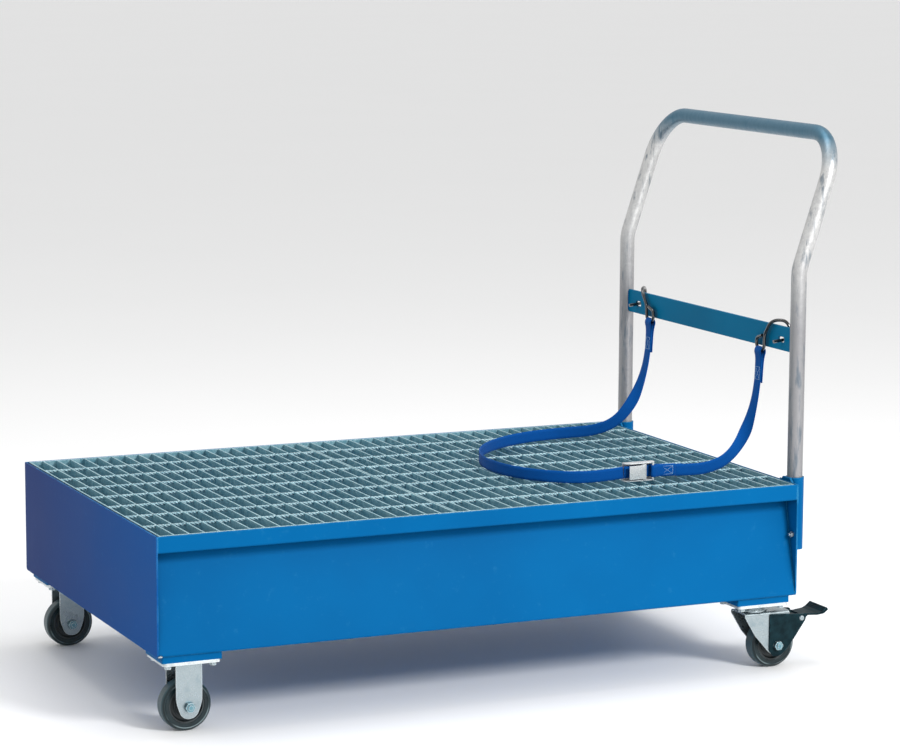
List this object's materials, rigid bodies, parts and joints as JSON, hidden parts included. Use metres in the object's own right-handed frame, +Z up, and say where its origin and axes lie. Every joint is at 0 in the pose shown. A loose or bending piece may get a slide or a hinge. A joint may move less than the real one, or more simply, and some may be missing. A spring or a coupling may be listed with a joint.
{
  "type": "spill tray dolly",
  "caption": "Low rolling spill tray for liquid drums, with lift-out gratings, fixed and braked swivel castors, a tubular push handle and a cam-buckle strap",
  "frame": {"origin": "on the floor under the centre of the overall box", "axes": "+X along the tray towards the push handle, +Y across it to the rear side, +Z up"},
  "size_m": [1.502, 0.857, 1.109],
  "materials": {
    "blue_paint": "satin",
    "teal_paint": "satin",
    "galvanised_grating": "galvanised",
    "galvanised_tube": "galvanised",
    "zinc": "zinc plated",
    "black_steel": "satin",
    "tyre_rubber": "matte",
    "wheel_plastic": "matte",
    "webbing": "woven",
    "coated_wire": "gloss"
  },
  "bodies": {
    "tray": {"sump_trough": "blue_paint", "end_plate_left": "blue_paint", "end_plate_right": "blue_paint", "earth_bolt": "zinc", "earth_nut": "zinc", "caster_pads": "blue_paint", "caster_bolts": "zinc", "rigid_plate_front": "zinc", "rigid_plate_rear": "zinc", "rigid_fork_front": "zinc", "rigid_fork_rear": "zinc", "rigid_axle_bolts": "zinc", "rigid_axle_nuts": "zinc", "rigid_axle_sleeves": "zinc", "swivel_plate_front": "zinc", "swivel_plate_rear": "zinc", "kingpins": "zinc", "handle_socket_front": "blue_paint", "handle_socket_rear": "blue_paint", "clamping_screws": "zinc", "push_handle": "galvanised_tube", "strap_plate": "teal_paint", "strap_hooks": "coated_wire"},
    "grating_left": {"grating_left_border": "galvanised_grating", "grating_left_bars": "galvanised_grating", "grating_left_rods": "galvanised_grating"},
    "grating_right": {"grating_right_border": "galvanised_grating", "grating_right_bars": "galvanised_grating", "grating_right_rods": "galvanised_grating", "strap_fixed_part": "webbing", "strap_long_part": "webbing", "buckle_frame": "zinc", "buckle_pins": "zinc"},
    "buckle_lever": {"buckle_cam": "zinc"},
    "rigid_wheel_front": {"rigid_wheel_front_tyre": "tyre_rubber", "rigid_wheel_front_centre": "wheel_plastic"},
    "swivel_front": {"swivel_race_front": "zinc", "swivel_fork_front": "zinc", "brake_housing_front": "black_steel", "pedal_pin_front": "zinc", "swivel_axle_bolt_front": "zinc", "swivel_axle_nut_front": "zinc", "swivel_axle_sleeve_front": "zinc"},
    "swivel_wheel_front": {"swivel_wheel_front_tyre": "tyre_rubber", "swivel_wheel_front_centre": "wheel_plastic"},
    "pedal_front": {"brake_pedal_front": "black_steel"},
    "rigid_wheel_rear": {"rigid_wheel_rear_tyre": "tyre_rubber", "rigid_wheel_rear_centre": "wheel_plastic"},
    "swivel_rear": {"swivel_race_rear": "zinc", "swivel_fork_rear": "zinc", "brake_housing_rear": "black_steel", "pedal_pin_rear": "zinc", "swivel_axle_bolt_rear": "zinc", "swivel_axle_nut_rear": "zinc", "swivel_axle_sleeve_rear": "zinc"},
    "swivel_wheel_rear": {"swivel_wheel_rear_tyre": "tyre_rubber", "swivel_wheel_rear_centre": "wheel_plastic"},
    "pedal_rear": {"brake_pedal_rear": "black_steel"}
  },
  "joints": [
    {"name": "left_grating_lift", "type": "slide", "parent": "tray", "child": "grating_left", "axis": [0, 0, 1], "range_m": [0, 0.05]},
    {"name": "right_grating_lift", "type": "slide", "parent": "tray", "child": "grating_right", "axis": [0, 0, 1], "range_m": [0, 0.05], "deforming": ["strap_fixed_part", "strap_long_part"]},
    {"name": "buckle_lever_turn", "type": "hinge", "parent": "grating_right", "child": "buckle_lever", "pos_m": [0.353, -0.268, 0.388], "axis": [0, 0, 1], "range_deg": [0, 70], "stiffness_Nm_per_rad": 0.02},
    {"name": "rigid_wheel_front_roll", "type": "hinge", "parent": "tray", "child": "rigid_wheel_front", "pos_m": [-0.679, -0.371, 0.05], "axis": [0, 1, 0], "continuous": true},
    {"name": "caster_front_swivel", "type": "hinge", "parent": "tray", "child": "swivel_front", "pos_m": [0.553, -0.371, 0.12], "axis": [0, 0, 1], "continuous": true},
    {"name": "swivel_wheel_front_roll", "type": "hinge", "parent": "swivel_front", "child": "swivel_wheel_front", "pos_m": [0.597, -0.371, 0.05], "axis": [0, 1, 0], "continuous": true},
    {"name": "brake_pedal_front_press", "type": "hinge", "parent": "swivel_front", "child": "pedal_front", "pos_m": [0.654, -0.371, 0.102], "axis": [0, 1, 0], "range_deg": [0, 15]},
    {"name": "rigid_wheel_rear_roll", "type": "hinge", "parent": "tray", "child": "rigid_wheel_rear", "pos_m": [-0.679, 0.371, 0.05], "axis": [0, 1, 0], "continuous": true},
    {"name": "caster_rear_swivel", "type": "hinge", "parent": "tray", "child": "swivel_rear", "pos_m": [0.553, 0.371, 0.12], "axis": [0, 0, 1], "continuous": true},
    {"name": "swivel_wheel_rear_roll", "type": "hinge", "parent": "swivel_rear", "child": "swivel_wheel_rear", "pos_m": [0.597, 0.371, 0.05], "axis": [0, 1, 0], "continuous": true},
    {"name": "brake_pedal_rear_press", "type": "hinge", "parent": "swivel_rear", "child": "pedal_rear", "pos_m": [0.654, 0.371, 0.102], "axis": [0, 1, 0], "range_deg": [0, 15]}
  ]
}
